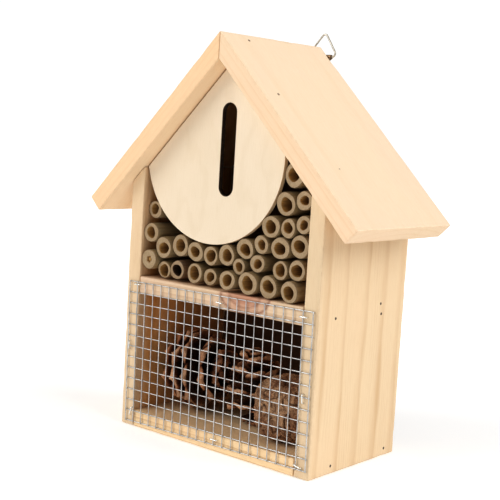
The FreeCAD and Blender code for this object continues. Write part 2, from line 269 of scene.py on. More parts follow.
def pine(name, light, dark, tint, ring_mm, contrast):
    """Bare planed pine: growth rings about a pith outside the board, fibres, flecks and soft stains."""
    s = Shade(name)
    drift = s.grain(0.006, 0.025, 2.0, 0.5)
    _, across, depth = s.split(s.position())
    shifted = s.plus(across, s.fit(drift, 0.3, 0.7, -RING_WANDER, RING_WANDER))
    radius = s.length(0.0, shifted, depth)
    uneven = s.grain(0.012, 0.10, 3.0, 0.55)
    wide = s.plus(s.math("DIVIDE", radius, ring_mm), s.fit(uneven, 0.3, 0.7, -0.10, 0.10))
    late = s.ramp(s.math("FRACT", wide), [(0.0, 0.0), (0.55, 0.04), (0.82, 1.0), (0.88, 0.7), (0.93, 0.0)])
    close = s.plus(s.math("DIVIDE", radius, FINE_RING), s.fit(uneven, 0.3, 0.7, -0.6, 0.6))
    thin = s.ramp(s.math("FRACT", close), [(0.0, 0.0), (0.4, 0.1), (0.8, 1.0), (0.95, 0.1), (1.0, 0.0)])
    patch = s.grain(0.012, 0.09, 3.0, 0.6)
    clear = s.fit(s.attribute("quiet"), 0.0, 1.0, 1.0, 0.28)
    late = s.times(s.times(late, clear), s.fit(patch, 0.35, 0.65, 0.45 * contrast, contrast))
    thin = s.times(s.times(thin, clear), s.fit(patch, 0.40, 0.68, 0.05 * contrast, 0.42 * contrast))
    fibre = s.grain(0.10, 3.2, 5.0, 0.65)
    fine = s.grain(0.30, 9.0, 3.0, 0.6)
    s.colour = s.mix(s.math("MAXIMUM", late, thin), light, dark)
    stain = s.grain(0.015, 0.035, 2.0, 0.5, 0.6)
    s.over(stain, 0.42, 0.72, 0.6, tint)
    s.over(fibre, 0.42, 0.75, 0.26, dark)
    fleck = s.ramp(fine, [(0.0, 0.0), (0.62, 0.0), (0.72, 0.5), (1.0, 0.7)])
    s.lay(s.times(fleck, 0.6 * contrast), shade_of(dark, 0.62))
    end = s.attribute("endgrain")
    speck = s.grain(2.0, 4.0, 4.0, 0.7)
    s.lay(s.times(end, s.fit(speck, 0.3, 0.8, 0.10, 0.50)), shade_of(dark, 0.80))
    edge = s.attribute("edge")
    rub = s.grain(0.4, 0.5, 3.0, 0.6)
    s.lay(s.times(edge, s.fit(rub, 0.42, 0.66, 0.0, 0.18)), shade_of(dark, 0.70))
    # Painted shade: a multiply darkens and warms the faces inside the rooms and the front edges of the roof
    inside = s.times(s.attribute("inside"), s.fit(patch, 0.3, 0.7, 0.8, 1.0))
    s.lay(inside, (0.93, 0.605, 0.30), "MULTIPLY")
    knot = s.attribute("knot")
    s.lay(s.times(knot, s.fit(fibre, 0.3, 0.6, 0.55, 1.0)), (0.55, 0.26, 0.165))
    swirl = s.plus(knot, s.fit(speck, 0.3, 0.7, -0.07, 0.07))
    swirl = s.ramp(swirl, [(0.12, 0.0), (0.22, 0.9), (0.32, 0.1), (0.50, 0.0), (0.60, 0.6), (0.70, 0.1)])
    s.lay(s.times(swirl, s.fit(fibre, 0.35, 0.6, 0.4, 1.0)), (0.26, 0.085, 0.055))
    height = s.plus(s.times(fibre, 0.6), s.times(fine, 0.35))
    height = s.math("SUBTRACT", height, s.times(late, 0.35))
    rough = s.fit(fibre, 0.3, 0.7, 0.56, 0.74)
    return s.finish(rough, height, 0.00012, specular=0.3)


def plywood(name, light, dark, scorched):
    """A rotary-cut face: broad soft wavy figure, a clean surface, and dark where the cut burnt it."""
    s = Shade(name)
    drift = s.grain(0.014, 0.03, 3.0, 0.55)
    across = s.split(s.position())[1]
    figure = s.plus(s.times(across, 0.05), s.times(drift, 9.0))
    figure = s.ramp(s.math("PINGPONG", figure, 1.0), [(0.0, 0.0), (0.62, 0.1), (0.92, 1.0), (1.0, 0.8)])
    fibre = s.grain(0.11, 2.0, 5.0, 0.6)
    pore = s.grain(0.5, 7.0, 2.0, 0.6)
    cloud = s.grain(0.03, 0.04, 2.0, 0.5)
    s.colour = s.mix(s.times(figure, 0.17), light, dark)
    s.over(fibre, 0.45, 0.78, 0.22, dark)
    s.over(cloud, 0.40, 0.75, 0.20, dark)
    pore = s.ramp(pore, [(0.0, 0.0), (0.66, 0.0), (0.75, 0.22), (1.0, 0.3)])
    s.lay(pore, shade_of(dark, 0.6))
    burnt = s.attribute("scorch")
    uneven = s.grain(0.6, 0.6, 3.0, 0.6)
    burnt = s.math("MULTIPLY", burnt, s.fit(uneven, 0.25, 0.6, 0.93, 1.0), clamp=True)
    s.lay(burnt, scorched)
    return s.finish(s.fit(fibre, 0.3, 0.7, 0.6, 0.72), fibre, 0.00006, specular=0.25)


def cane_skin(name, light, dark, grey):
    """Weathered cane: streaks along it and grey blotches."""
    s = Shade(name)
    streak = s.grain(0.05, 1.6, 4.0, 0.6)
    blotch = s.grain(0.06, 0.25, 3.0, 0.6, 0.4)
    fine = s.grain(0.25, 8.0, 3.0, 0.6)
    s.colour = s.mix(s.fit(streak, 0.35, 0.7, 0.0, 0.8), light, dark)
    s.over(blotch, 0.48, 0.7, 0.7, grey)
    s.over(fine, 0.5, 0.75, 0.3, shade_of(dark, 0.6))
    height = s.plus(s.times(streak, 0.5), fine)
    return s.finish(s.fit(blotch, 0.3, 0.7, 0.38, 0.6), height, 0.00008, specular=0.4)


def cane_end(name, light, dark, rim):
    """Sawn bamboo: pale walls full of fine dark bundles that crowd towards the skin."""
    s = Shade(name)
    place = s.position()
    radial = s.attribute("radial")
    bundle = s.cells(place, 2.6)
    dots = s.ramp(bundle, [(0.0, 1.0), (0.22, 0.75), (0.42, 0.0), (1.0, 0.0)])
    dots = s.times(dots, s.fit(radial, 0.0, 1.0, 0.25, 0.7))
    torn = s.noise(place, 1.1, 4.0, 0.65, 0.5)
    wide = s.noise(place, 0.16, 2.0, 0.5)
    s.colour = s.mix(s.fit(torn, 0.38, 0.72, 0.0, 0.55), light, dark)
    s.over(wide, 0.42, 0.68, 0.35, dark)
    s.lay(dots, rim)
    # Dark rims of the cut end: painted shade at the lip of the bore, and at the skin the cane's darker outer
    # layer together with painted shade
    rim_layer_and_shade = s.ramp(radial, [(0.0, 0.6), (0.10, 0.1), (0.16, 0.0), (0.86, 0.0), (0.95, 0.75), (1.0, 1.0)])
    s.lay(s.times(rim_layer_and_shade, 0.8), rim)
    height = s.math("SUBTRACT", torn, s.times(dots, 0.6))
    return s.finish(0.78, height, 0.00016, specular=0.2)


def cane_bore(name, mouth, deep_shade):
    """Golden at the mouth and dark further in, the darkening being painted shade."""
    s = Shade(name)
    depth = s.attribute("depth")
    streak = s.grain(0.08, 1.2, 4.0, 0.6)
    between = tuple(0.55 * m + 0.45 * d for m, d in zip(mouth, deep_shade))
    # Painted shade: the bore darkens with its depth into the cane
    s.colour = s.ramp(depth, [(0.0, mouth), (0.10, between), (0.4, deep_shade)])
    s.over(streak, 0.35, 0.7, 0.5, shade_of(deep_shade, 0.5))
    return s.finish(0.7, streak, 0.0001, specular=0.2)


def metal(name, bright, dull, roughness, share=1.0):
    """Wire or plate with a clouded coating, small scratches and a few dull spots."""
    s = Shade(name)
    coordinate = s.coordinate()
    cloud = s.noise(coordinate, 260.0, 3.0, 0.6)
    grit = s.noise(coordinate, 2400.0, 2.0, 0.6)
    s.colour = s.mix(s.fit(cloud, 0.4, 0.7, 0.0, 0.8), bright, dull)
    s.over(grit, 0.55, 0.75, 0.4, shade_of(dull, 0.6))
    rough = s.fit(cloud, 0.3, 0.7, roughness - 0.08, roughness + 0.14)
    return s.finish(rough, grit, 0.00002, metal=share, specular=0.5)


def cone_scale(name):
    """Dark at the stalk, where the scale's dark base is deepened to near black as painted shade between the
    scales, red-brown along the blade, and a dry grey-brown tip with a pale rim, brightened in part as
    painted light.
    """
    s = Shade(name)
    up = s.attribute("reach_and_painted_light")
    own = s.attribute("own_tone")
    above = s.attribute("face_up")
    ribs = s.grain(0.35, 2.4, 4.0, 0.65)
    crust = s.grain(1.1, 1.1, 4.0, 0.7)
    # Painted light and shade: the near-black stops at the stalk paint the shade between the scales, and the
    # palest stops at the tip are partly painted light
    top = s.ramp(up, [(0.0, (0.010, 0.004, 0.003)), (0.60, (0.045, 0.015, 0.007)),
                      (0.80, (0.30, 0.098, 0.036)), (0.91, (0.64, 0.28, 0.12)), (0.97, (0.84, 0.52, 0.31))])
    below = s.ramp(up, [(0.0, (0.012, 0.006, 0.004)), (0.60, (0.055, 0.019, 0.009)),
                        (0.80, (0.30, 0.105, 0.042)), (0.91, (0.70, 0.36, 0.19)), (1.0, (0.90, 0.58, 0.37))])
    s.colour = s.mix(above, below, top)
    s.over(ribs, 0.38, 0.68, 0.55, (0.085, 0.036, 0.018))
    worn = s.times(s.fit(up, 0.6, 0.9), s.fit(crust, 0.45, 0.7, 0.0, 0.35))
    s.lay(worn, (0.70, 0.50, 0.35))
    s.over(own, 0.0, 1.0, 0.40, (0.16, 0.070, 0.032))
    height = s.plus(ribs, crust)
    return s.finish(s.fit(crust, 0.3, 0.7, 0.62, 0.80), height, 0.0003, specular=0.25)


def bark_skin(name):
    """Flaky grey-brown bark with pale patches, short dark strands, and painted shade that darkens its cracks
    and low spots.
    """
    s = Shade(name)
    coordinate = s.coordinate()
    low = s.attribute("crevice_shade")
    flake = s.noise(coordinate, 260.0, 6.0, 0.7, 1.6)
    strand = s.noise(s.stretch(coordinate, (1.0, 1.0, 0.32)), 620.0, 4.0, 0.65, 1.2)
    patch = s.noise(coordinate, 75.0, 3.0, 0.6)
    speck = s.noise(coordinate, 1100.0, 3.0, 0.7)
    s.colour = s.mix(s.fit(flake, 0.36, 0.56, 0.0, 1.0), (0.23, 0.10, 0.048), (0.58, 0.34, 0.195))
    s.over(patch, 0.46, 0.60, 0.8, (0.66, 0.43, 0.26))
    s.over(strand, 0.50, 0.62, 0.75, (0.15, 0.066, 0.036))
    s.over(speck, 0.55, 0.70, 0.55, (0.10, 0.045, 0.026))
    # Painted shade: darkens the cracks and the low spots of the crumbly skin
    s.lay(s.times(low, 0.75), (0.060, 0.026, 0.014))
    height = s.plus(flake, s.times(speck, 0.5))
    return s.finish(0.85, height, 0.0007, specular=0.15)


# ---- mesh helpers

def wobble(point, scale, seed):
    """Smooth noise from -1 to 1 at a point."""
    return noise.noise(Vector(point) * scale + Vector((seed, seed * 1.7, -seed * 0.6)))


def add_piece(node, points, faces, materials, material_index=None, attributes=None, smooth=True):
    """A new piece that stands for a CAD node, with its own attributes and materials."""
    name = "look_" + node
    mesh = bpy.data.meshes.new(name)
    mesh.from_pydata([tuple(p) for p in points], [], [tuple(f) for f in faces])
    mesh.validate()
    for mat in materials:
        mesh.materials.append(mat)
    if material_index is not None:
        mesh.polygons.foreach_set("material_index", list(material_index))
    for key, values in (attributes or {}).items():
        values = np.asarray(values, np.float32)
        kind = "FLOAT_VECTOR" if values.ndim == 2 else "FLOAT"
        layer = mesh.attributes.new(key, kind, "POINT")
        layer.data.foreach_set("vector" if values.ndim == 2 else "value", values.ravel())
    if smooth:
        mesh.polygons.foreach_set("use_smooth", [True] * len(mesh.polygons))
    mesh.update()
    piece = linked(name, mesh)
    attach(piece, "house")
    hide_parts(node)


def tube_faces(rings, around):
    """Quads between rings of points that follow one another."""
    faces = []
    for ring in range(rings - 1):
        for k in range(around):
            a = ring * around + k
            b = ring * around + (k + 1) % around
            faces.append((a, b, b + around, a + around))
    return faces


def closed_tube(rings, around):
    """The same quads, with a face over each end."""
    last = (rings - 1) * around
    return tube_faces(rings, around) + [tuple(range(around - 1, -1, -1)), tuple(range(last, last + around))]


def welded(node):
    """A copy of a CAD node's mesh with its doubled points joined."""
    work = bmesh.new()
    work.from_mesh(NODES[node].data)
    bmesh.ops.remove_doubles(work, verts=work.verts, dist=1e-6)
    work.verts.ensure_lookup_table()
    return work


def solids_of(node):
    """The points of each separate solid of a CAD node."""
    work = welded(node)
    seen = set()
    groups = []
    for start in work.verts:
        if start.index in seen:
            continue
        stack = [start]
        seen.add(start.index)
        group = []
        while stack:
            vert = stack.pop()
            group.append(vert.co.copy())
            for edge in vert.link_edges:
                other = edge.other_vert(vert)
                if other.index not in seen:
                    seen.add(other.index)
                    stack.append(other)
        groups.append(np.array(group))
    work.free()
    return groups


def main_axis(points):
    """The two end centres of a long thin solid, and the direction from one to the other."""
    centre = (points.max(0) + points.min(0)) / 2
    direction = np.linalg.eigh(np.cov((points - points.mean(0)).T))[1][:, -1]
    along = (points - centre) @ direction
    low = points[along < along.min() + 1e-5].mean(0)
    high = points[along > along.max() - 1e-5].mean(0)
    return low, high, direction


# ---- boards

def grid_lines(length, radius):
    """Cuts along one side of a board: close together in the rounded edges, even between."""
    inner = length - 2 * radius
    count = max(1, int(round(inner / BOARD_CELL)))
    middle = [radius + inner * i / count for i in range(count + 1)]
    bend = [radius * (1 - f) for f in BEND_STEPS]
    return bend + middle + [length - b for b in reversed(bend)]


BOARD_CELL = 0.0022
BEND_STEPS = (1.0, 0.577, 0.268)
SURFACE = 0.0002
# How far a board's skin lies inside its CAD shape, and how deep its edges are chipped
WEAR_LEAST = 0.00006
WEAR_WAVE = 0.00010
WEAR_LINE = 0.00005
CHIP_DEPTH = 0.0006


def rounded_board(size, radius, seed):
    """A board with softened, slightly worn edges, its grain along the first axis: its points, faces
    and attributes, and its points before they were softened."""
    lines = [grid_lines(side, radius) for side in size]
    counts = [len(line) for line in lines]
    index = {}
    points, faces = [], []

    def vertex(key):
        if key not in index:
            index[key] = len(points)
            points.append([lines[axis][key[axis]] for axis in range(3)])
        return index[key]

    for axis in range(3):
        u, v = [a for a in range(3) if a != axis]
        for side in (0, counts[axis] - 1):
            for i in range(counts[u] - 1):
                for j in range(counts[v] - 1):
                    corner = []
                    for di, dj in ((0, 0), (1, 0), (1, 1), (0, 1)):
                        key = [0, 0, 0]
                        key[axis], key[u], key[v] = side, i + di, j + dj
                        corner.append(vertex(tuple(key)))
                    flip = (side == 0) == (axis != 1)
                    faces.append(corner[::-1] if flip else corner)
    p = np.array(points)
    half = np.array(size) / 2
    q = p - half
    core = np.clip(q, -(half - radius), half - radius)
    push = q - core
    normal = push / np.maximum(np.linalg.norm(push, axis=1), 1e-12)[:, None]
    from_edge = np.sort(half - np.abs(q), axis=1)[:, 1]
    edge = np.clip(1 - from_edge / (2.2 * radius), 0, 1)
    end = (np.abs(normal[:, 0]) > 0.75).astype(float)
    inward = np.empty(len(p))
    for i, point in enumerate(p):
        wave = 0.5 + 0.5 * wobble(point, 22.0, seed)
        line = 0.5 + 0.5 * noise.noise(Vector((point[0] * 18, point[1] * 420, point[2] * 420 + seed)))
        chip = max(0.0, wobble(point, 95.0, seed + 9.0) - 0.12)
        inward[i] = WEAR_LEAST + WEAR_WAVE * wave + WEAR_LINE * line + CHIP_DEPTH * edge[i] * chip
    moved = half + core + normal * (radius - inward)[:, None]
    return moved, faces, {"edge": edge, "endgrain": end}, p


# How much painted shade darkens a board inside the rooms, and how much painted shade darkens and warms the
# front edges of the roof
ROOM_SHADE = {"floor_board": 0.0, "shelf_board": 0.65}
FRONT_SHADE = {"roof_left": 0.28, "roof_right": 0.17}
ROOM_FADE = 0.010
ROOM_SLACK = 0.0006
# How far the growth rings are held back on the edges of the roof boards, where their top faces have 1
ROOF_EDGE_QUIET = 0.45


def within_rooms(points):
    """1 for the surfaces that face the rooms, where painted shade darkens the wood, fading at the front
    edge.
    """
    left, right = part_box("side_left")[1].x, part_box("side_right")[0].x
    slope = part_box("back_panel")[1].z
    across = np.abs(points[:, 0])
    held = (points[:, 0] > left - ROOM_SLACK) & (points[:, 0] < right + ROOM_SLACK)
    held &= points[:, 2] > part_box("floor_board")[1].z - ROOM_SLACK
    held &= points[:, 2] < slope - across + ROOM_SLACK
    held &= points[:, 1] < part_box("back_panel")[0].y + ROOM_SLACK
    return held * np.clip((points[:, 1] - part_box("side_left")[0].y) / ROOM_FADE, 0, 1)


# Seed, and how far the pith lies from a board's corner, across it and in its thickness
BOARDS = {"floor_board": (3.0, (-0.030, 0.120)), "shelf_board": (5.0, (-0.018, 0.120)),
          "side_left": (7.0, (0.150, 0.010)), "side_right": (11.0, (0.200, 0.005)),
          "roof_left": (13.0, (-0.040, 0.150)), "roof_right": (17.0, (-0.045, 0.150)),
          "back_panel": (19.0, (0.0, 0.0))}


def board(name, size, place, material, radius=0.0008, knot=None):
    """One board; place turns its own coordinates into the frame's."""
    seed, pith = BOARDS[name]
    points, faces, attributes, flat = rounded_board(size, radius, seed)
    shift = np.array([0.37 * seed, pith[0], pith[1]])
    attributes["grain"] = flat + shift
    attributes["knot"] = np.zeros(len(flat)) if knot is None else knot(flat)
    on_top = flat[:, 2] > size[2] - SURFACE
    attributes["quiet"] = np.where(on_top, 1.0, ROOF_EDGE_QUIET) * float(name.startswith("roof"))
    placed = place(points)
    # Painted shade: the front edges of the roof and the faces inside the rooms are darkened through the
    # inside attribute
    front_edge_shade = FRONT_SHADE.get(name, 0.0) * (flat[:, 1] < 2 * SURFACE) * ~on_top
    attributes["inside"] = np.maximum(ROOM_SHADE.get(name, 1.0) * within_rooms(placed), front_edge_shade)
    add_piece(name, placed, faces, [material], None, attributes)


KNOT_CENTRE = (0.080, 0.0095)
KNOT_SIZE = (0.015, 0.0085)


def shelf_knot(points):
    """A reddish half knot on the front edge of the shelf, right of its middle."""
    along, height = KNOT_CENTRE
    reach = np.hypot((points[:, 0] - along) / KNOT_SIZE[0], (points[:, 2] - height) / KNOT_SIZE[1])
    near_front = np.clip(1 - points[:, 1] / 0.02, 0, 1)
    return np.clip(1.3 - reach, 0, 1) ** 0.8 * near_front * 0.9


def make_flat_boards(wood):
    """The shelf and the floor, with the grain from side to side."""
    for name, knot in (("floor_board", None), ("shelf_board", shelf_knot)):
        low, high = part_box(name)
        board(name, tuple(high - low), lambda points: np.array(low) + points, wood[name], knot=knot)


def make_side_boards(wood):
    """Upright boards whose tops slope at 45 degrees down to the outside."""
    for name in ("side_left", "side_right"):
        low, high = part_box(name)
        hand = 1 if low.x > 0 else -1
        size = (high.z - low.z, high.y - low.y, high.x - low.x)
        inner = low.x if hand > 0 else high.x

        def place(points):
            x = low.x + points[:, 2]
            top = high.z - hand * (x - inner)
            z = low.z + points[:, 0] / (high.z - low.z) * (top - low.z)
            y = low.y + points[:, 1]
            return np.stack([x, y, z], 1)

        board(name, size, place, wood[name])


def make_roof_boards(wood):
    """Sloping boards, mitred where they meet at the ridge. The grain runs down the slope."""
    for name in ("roof_left", "roof_right"):
        low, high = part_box(name)
        hand = 1 if high.x > 1e-6 else -1
        span = high.x - low.x
        thick = (high.z - span - low.z) * math.sqrt(2)
        length = span * math.sqrt(2)
        size = (length, high.y - low.y, thick)

        def place(points):
            sunk = thick - points[:, 2]
            run = sunk + (length - sunk) * points[:, 0] / length
            x = (run - sunk) / math.sqrt(2)
            z = high.z - (run + sunk) / math.sqrt(2)
            return np.stack([hand * x, low.y + points[:, 1], z], 1)

        board(name, size, place, wood[name])


def make_back_panel(ply):
    """A thin upright panel whose top follows both slopes."""
    name = "back_panel"
    low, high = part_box(name)
    size = (high.z - low.z, high.x - low.x, high.y - low.y)

    def place(points):
        x = low.x + points[:, 1]
        top = high.z - np.abs(x)
        z = low.z + points[:, 0] / (high.z - low.z) * (top - low.z)
        return np.stack([x, low.y + points[:, 2], z], 1)

    board(name, size, place, ply, radius=0.0004)


# ---- gable panel

def panel_outlines(node):
    """The rims of the panel's front face as loops of points in X and Z, the longest first."""
    work = welded(node)
    front = min(v.co.y for v in work.verts)
    inside = {f for f in work.faces if all(v.co.y < front + 1e-5 for v in f.verts)}
    follow = {}
    for edge in work.edges:
        if sum(f in inside for f in edge.link_faces) == 1:
            a, b = edge.verts
            follow.setdefault(a, []).append(b)
            follow.setdefault(b, []).append(a)
    loops = []
    left = set(follow)
    while left:
        start = min(left, key=lambda v: (v.co.x, v.co.z))
        loop = [start]
        left.discard(start)
        while True:
            ahead = [v for v in follow[loop[-1]] if v in left]
            if not ahead:
                break
            loop.append(ahead[0])
            left.discard(ahead[0])
        loops.append([Vector((v.co.x, v.co.z)) for v in loop])
    work.free()
    return sorted(loops, key=len, reverse=True)


def resample(loop, step):
    """The same loop with points about a step apart, its corners kept."""
    out = []
    for i, a in enumerate(loop):
        b = loop[(i + 1) % len(loop)]
        count = max(1, int(round((b - a).length / step)))
        out += [a.lerp(b, k / count) for k in range(count)]
    return out


PANEL_GAP = 0.0008
PANEL_STEP = 0.0016
PANEL_SOFT = 0.00025
SCORCH_REACH = 0.0004
SCORCH_START = 0.00012


def make_gable_panel(ply, edge_wood):
    """A thin plywood face with softened edges, a little clear of the roof. The saw burnt its slot."""
    name = "gable_panel"
    low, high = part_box(name)
    loops = [resample(loop, PANEL_STEP) for loop in panel_outlines(name)]
    roof_line = max(p.y + abs(p.x) for p in loops[0])
    for p in loops[0]:
        if p.y + abs(p.x) > roof_line - 0.00002:
            p.y -= PANEL_GAP
    work = bmesh.new()
    for loop in loops:
        verts = [work.verts.new((p.x, low.y, p.y)) for p in loop]
        for i, vert in enumerate(verts):
            work.edges.new((vert, verts[(i + 1) % len(verts)]))
    bmesh.ops.triangle_fill(work, use_beauty=True, use_dissolve=False, edges=work.edges[:])
    made = bmesh.ops.extrude_face_region(work, geom=work.faces[:])
    back = [v for v in made["geom"] if isinstance(v, bmesh.types.BMVert)]
    bmesh.ops.translate(work, verts=back, vec=(0, high.y - low.y, 0))
    bmesh.ops.recalc_face_normals(work, faces=work.faces[:])
    rims = [e for e in work.edges if len(e.link_faces) == 2
            and abs(e.link_faces[0].normal.dot(e.link_faces[1].normal)) < 0.3
            and (abs(e.link_faces[0].normal.y) > 0.9 or abs(e.link_faces[1].normal.y) > 0.9)]
    bmesh.ops.bevel(work, geom=rims, offset=PANEL_SOFT, segments=2, profile=0.5, affect="EDGES")
    work.verts.ensure_lookup_table()
    points = np.array([v.co[:] for v in work.verts])
    faces = [[v.index for v in f.verts] for f in work.faces]
    is_edge = [1 if abs(f.normal.y) < 0.5 else 0 for f in work.faces]
    work.free()
    slot = np.array([[p.x, p.y] for p in loops[-1]])
    gap = np.array([np.min(np.hypot(*(slot - p).T)) for p in points[:, [0, 2]]])
    scorch = (gap < SCORCH_REACH) * np.clip((points[:, 1] - low.y) / SCORCH_START, 0, 1)
    grain = np.stack([points[:, 2], points[:, 0], points[:, 1]], 1) + np.array([1.3, 0.2, 0.1])
    attributes = {"grain": grain, "scorch": scorch}
    add_piece(name, points, faces, [ply, edge_wood], is_edge, attributes, smooth=False)


# ---- canes

def cane_shape(node):
    """What the CAD tube says: axis, outer radius, bore radius (0 if it is closed) and its two ends."""
    low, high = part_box(node)
    centre = Vector(((low.x + high.x) / 2, 0, (low.z + high.z) / 2))
    outer = (high.x - low.x) / 2
    radii = [math.hypot(v.co.x - centre.x, v.co.z - centre.z) for v in NODES[node].data.vertices]
    bore = min(radii) if min(radii) <= outer * 0.9 else 0.0
    return centre, outer, bore, low.y, high.y


def lobes(rng, strength):
    """A slow uneven change round a cane, as a list of (count, size, phase)."""
    return [(count, strength * rng.uniform(*share), rng.uniform(0, 6.28))
            for count, share in ((2, (0.5, 1.0)), (3, (0.2, 0.5)), (5, (0.1, 0.25)))]


def lobe_value(parts, angle):
    return sum(size * math.cos(count * angle + phase) for count, size, phase in parts)


CANE_AROUND = 56
CANE_STEPS = 16
BORE_STEPS = 12
BORE_START = 0.0006
CANE_NODE = 0.0016
CANE_TILT = 0.01
RAGGED = 0.00009
END_SHARES = (0.93, 0.8, 0.62, 0.45, 0.3, 0.16, 0.06)
# Rings of the pith that closes a cane: size, how far they sink in and how dark they are, the darkness being
# painted shade in the pith's crevices
PITH_RINGS = ((0.80, 0.0009, 0.35), (0.45, 0.0008, 0.06), (0.12, 0.0005, 0.0))
SKIN, END, BORE = range(3)
# The rounded rim of a cane's end: distance from the end, inset from the skin, and kind
CANE_RIM = ((0.00045, 0.0, SKIN), (0.00018, 0.00006, SKIN), (0.00004, 0.00022, END))


def make_cane(node, materials, seed):
    """A slightly crooked tube with a knot, a ragged sawn end, and a bore or a plug of pith."""
    rng = random.Random(seed)
    centre, outer, bore, front, back = cane_shape(node)
    outer_lobes = lobes(rng, 0.048)
    outer_swell = 1 + 0.4 * sum(part[1] for part in outer_lobes)
    bore_lobes = lobes(rng, 0.105)
    off_x, off_z = (rng.uniform(-0.08, 0.08) * outer for _ in range(2))
    tilt_x, tilt_z = (rng.uniform(-0.05, 0.05) for _ in range(2))
    knot_at = front + (back - front) * rng.uniform(0.15, 0.8)
    star = rng.uniform(0, 6.28)
    own = rng.uniform(0, 5)
    angles = [2 * math.pi * k / CANE_AROUND for k in range(CANE_AROUND)]
    rings, radial, depth, kinds = [], [], [], []

    def outer_radius(angle, y):
        knot = math.exp(-((y - knot_at) / CANE_NODE) ** 2)
        grain = 0.004 * wobble((math.cos(angle), math.sin(angle), y * 40), 3.0, seed)
        swell = (1 + lobe_value(outer_lobes, angle)) / outer_swell
        return outer * (swell * (0.985 + 0.02 * knot) + grain - 0.002)

    def bore_radius(angle, y):
        if not bore:
            return outer * 0.34 * (0.62 + 0.38 * abs(math.cos(2.5 * angle + star)) ** 0.7)
        fuzz = 0.02 * wobble((math.cos(angle), math.sin(angle), y * 60), 4.0, seed + 3)
        return bore * (1 + lobe_value(bore_lobes, angle) + fuzz)

    def keep_ring(ring, share, dark, kind):
        for kept, value in ((rings, ring), (radial, share), (depth, dark), (kinds, kind)):
            kept.append(value)

    def add_ring(y, share, inset, kind):
        """share runs from the bore (0) to the skin (1)."""
        ring = []
        for angle in angles:
            small = bore_radius(angle, y)
            r = small + (outer_radius(angle, y) - inset - small) * share
            x = centre.x + off_x * (1 - share) + r * math.cos(angle)
            z = centre.z + off_z * (1 - share) + r * math.sin(angle)
            lean = (x - centre.x) * tilt_x + (z - centre.z) * tilt_z + outer * 0.05
            fade = max(0.0, 1 - (y - front) / CANE_TILT)
            rag = RAGGED * wobble((x, y, z), 900.0, seed) if kind == END else 0.0
            ring.append((x, y + lean * fade + rag, z))
        keep_ring(ring, share, (y - front) / (back - front), kind)

    for i in range(CANE_STEPS):
        add_ring(back - (back - front) * i / CANE_STEPS, 1.0, 0.0, SKIN)
    for at, inset, kind in CANE_RIM:
        add_ring(front + at, 1.0, inset, kind)
    for share in END_SHARES:
        add_ring(front, share, 0.0, END)
    add_ring(front + 0.00012, 0.0, 0.0, END)
    if bore:
        for i in range(BORE_STEPS + 1):
            t = (i / BORE_STEPS) ** 1.6
            add_ring(front + BORE_START + (back - front - BORE_START) * t, 0.0, 0.0, BORE)
    else:
        for shrink, sink, pith_shade in PITH_RINGS:
            sizes = [bore_radius(angle, front) * shrink for angle in angles]
            keep_ring([(centre.x + off_x + r * math.cos(angle), front + outer * 0.05 + sink,
                        centre.z + off_z + r * math.sin(angle)) for r, angle in zip(sizes, angles)],
                      0.0, pith_shade, BORE)
    points = np.array([p for ring in rings for p in ring])
    face_kinds = list(np.repeat(kinds[1:], CANE_AROUND))
    if bore:
        faces = tube_faces(len(rings), CANE_AROUND)
        last = (len(rings) - 1) * CANE_AROUND
        for k in range(CANE_AROUND):
            n = (k + 1) % CANE_AROUND
            faces.append((last + k, last + n, n, k))
        face_kinds += [END] * CANE_AROUND
    else:
        faces = closed_tube(len(rings), CANE_AROUND)
        face_kinds += [SKIN, BORE]
    spin = np.tile(np.array(angles), len(rings))
    along_skin = np.stack([points[:, 1] + own, outer * np.cos(spin) + own, outer * np.sin(spin)], 1)
    flat_end = np.stack([points[:, 0] + own, points[:, 2], points[:, 1] * 0.2], 1)
    on_end = (np.repeat(kinds, CANE_AROUND) == END)[:, None]
    attributes = {"grain": np.where(on_end, flat_end, along_skin), "radial": np.repeat(radial, CANE_AROUND),
                  "depth": np.repeat(depth, CANE_AROUND)}
    add_piece(node, points, faces, materials, face_kinds, attributes)


# ---- wire, staples and nails

def circle(centre, side, up, radius, around):
    """A ring of points about a centre."""
    angles = [2 * math.pi * k / around for k in range(around)]
    return [centre + side * (math.cos(angle) * radius) + up * (math.sin(angle) * radius) for angle in angles]


def sweep(path, radius, around):
    """Points and faces of a round wire along a path, closed at both ends."""
    path = [Vector(p) for p in path]
    points = []
    side = None
    for i, point in enumerate(path):
        ahead = (path[min(len(path) - 1, i + 1)] - path[max(0, i - 1)]).normalized()
        if side is None:
            side = ahead.cross(Vector((0, 1, 0)) if abs(ahead.y) < 0.9 else Vector((0, 0, 1))).normalized()
        side = (side - ahead * side.dot(ahead)).normalized()
        points += circle(point, side, ahead.cross(side), radius, around)
    return points, closed_tube(len(path), around)


def turned(profile, at, direction, around=24):
    """A turned shape from (height, radius) pairs, along a direction from a point."""
    direction = Vector(direction).normalized()
    side = direction.orthogonal().normalized()
    up = direction.cross(side)
    points = []
    for height, radius in profile:
        points += circle(Vector(at) + direction * height, side, up, radius, around)
    return points, closed_tube(len(profile), around)


def gather(parts):
    """Joins lists of (points, faces) into one."""
    points, faces = [], []
    for some_points, some_faces in parts:
        base = len(points)
        points += list(some_points)
        faces += [tuple(base + i for i in face) for face in some_faces]
    return points, faces


def add_parts(node, parts, material):
    """One piece of one material from lists of (points, faces)."""
    points, faces = gather(parts)
    add_piece(node, points, faces, [material])


MESH_STEPS = 64
MESH_SWAY = 0.00007
MESH_LIFT = 0.00005
MESH_WELD = 0.00010


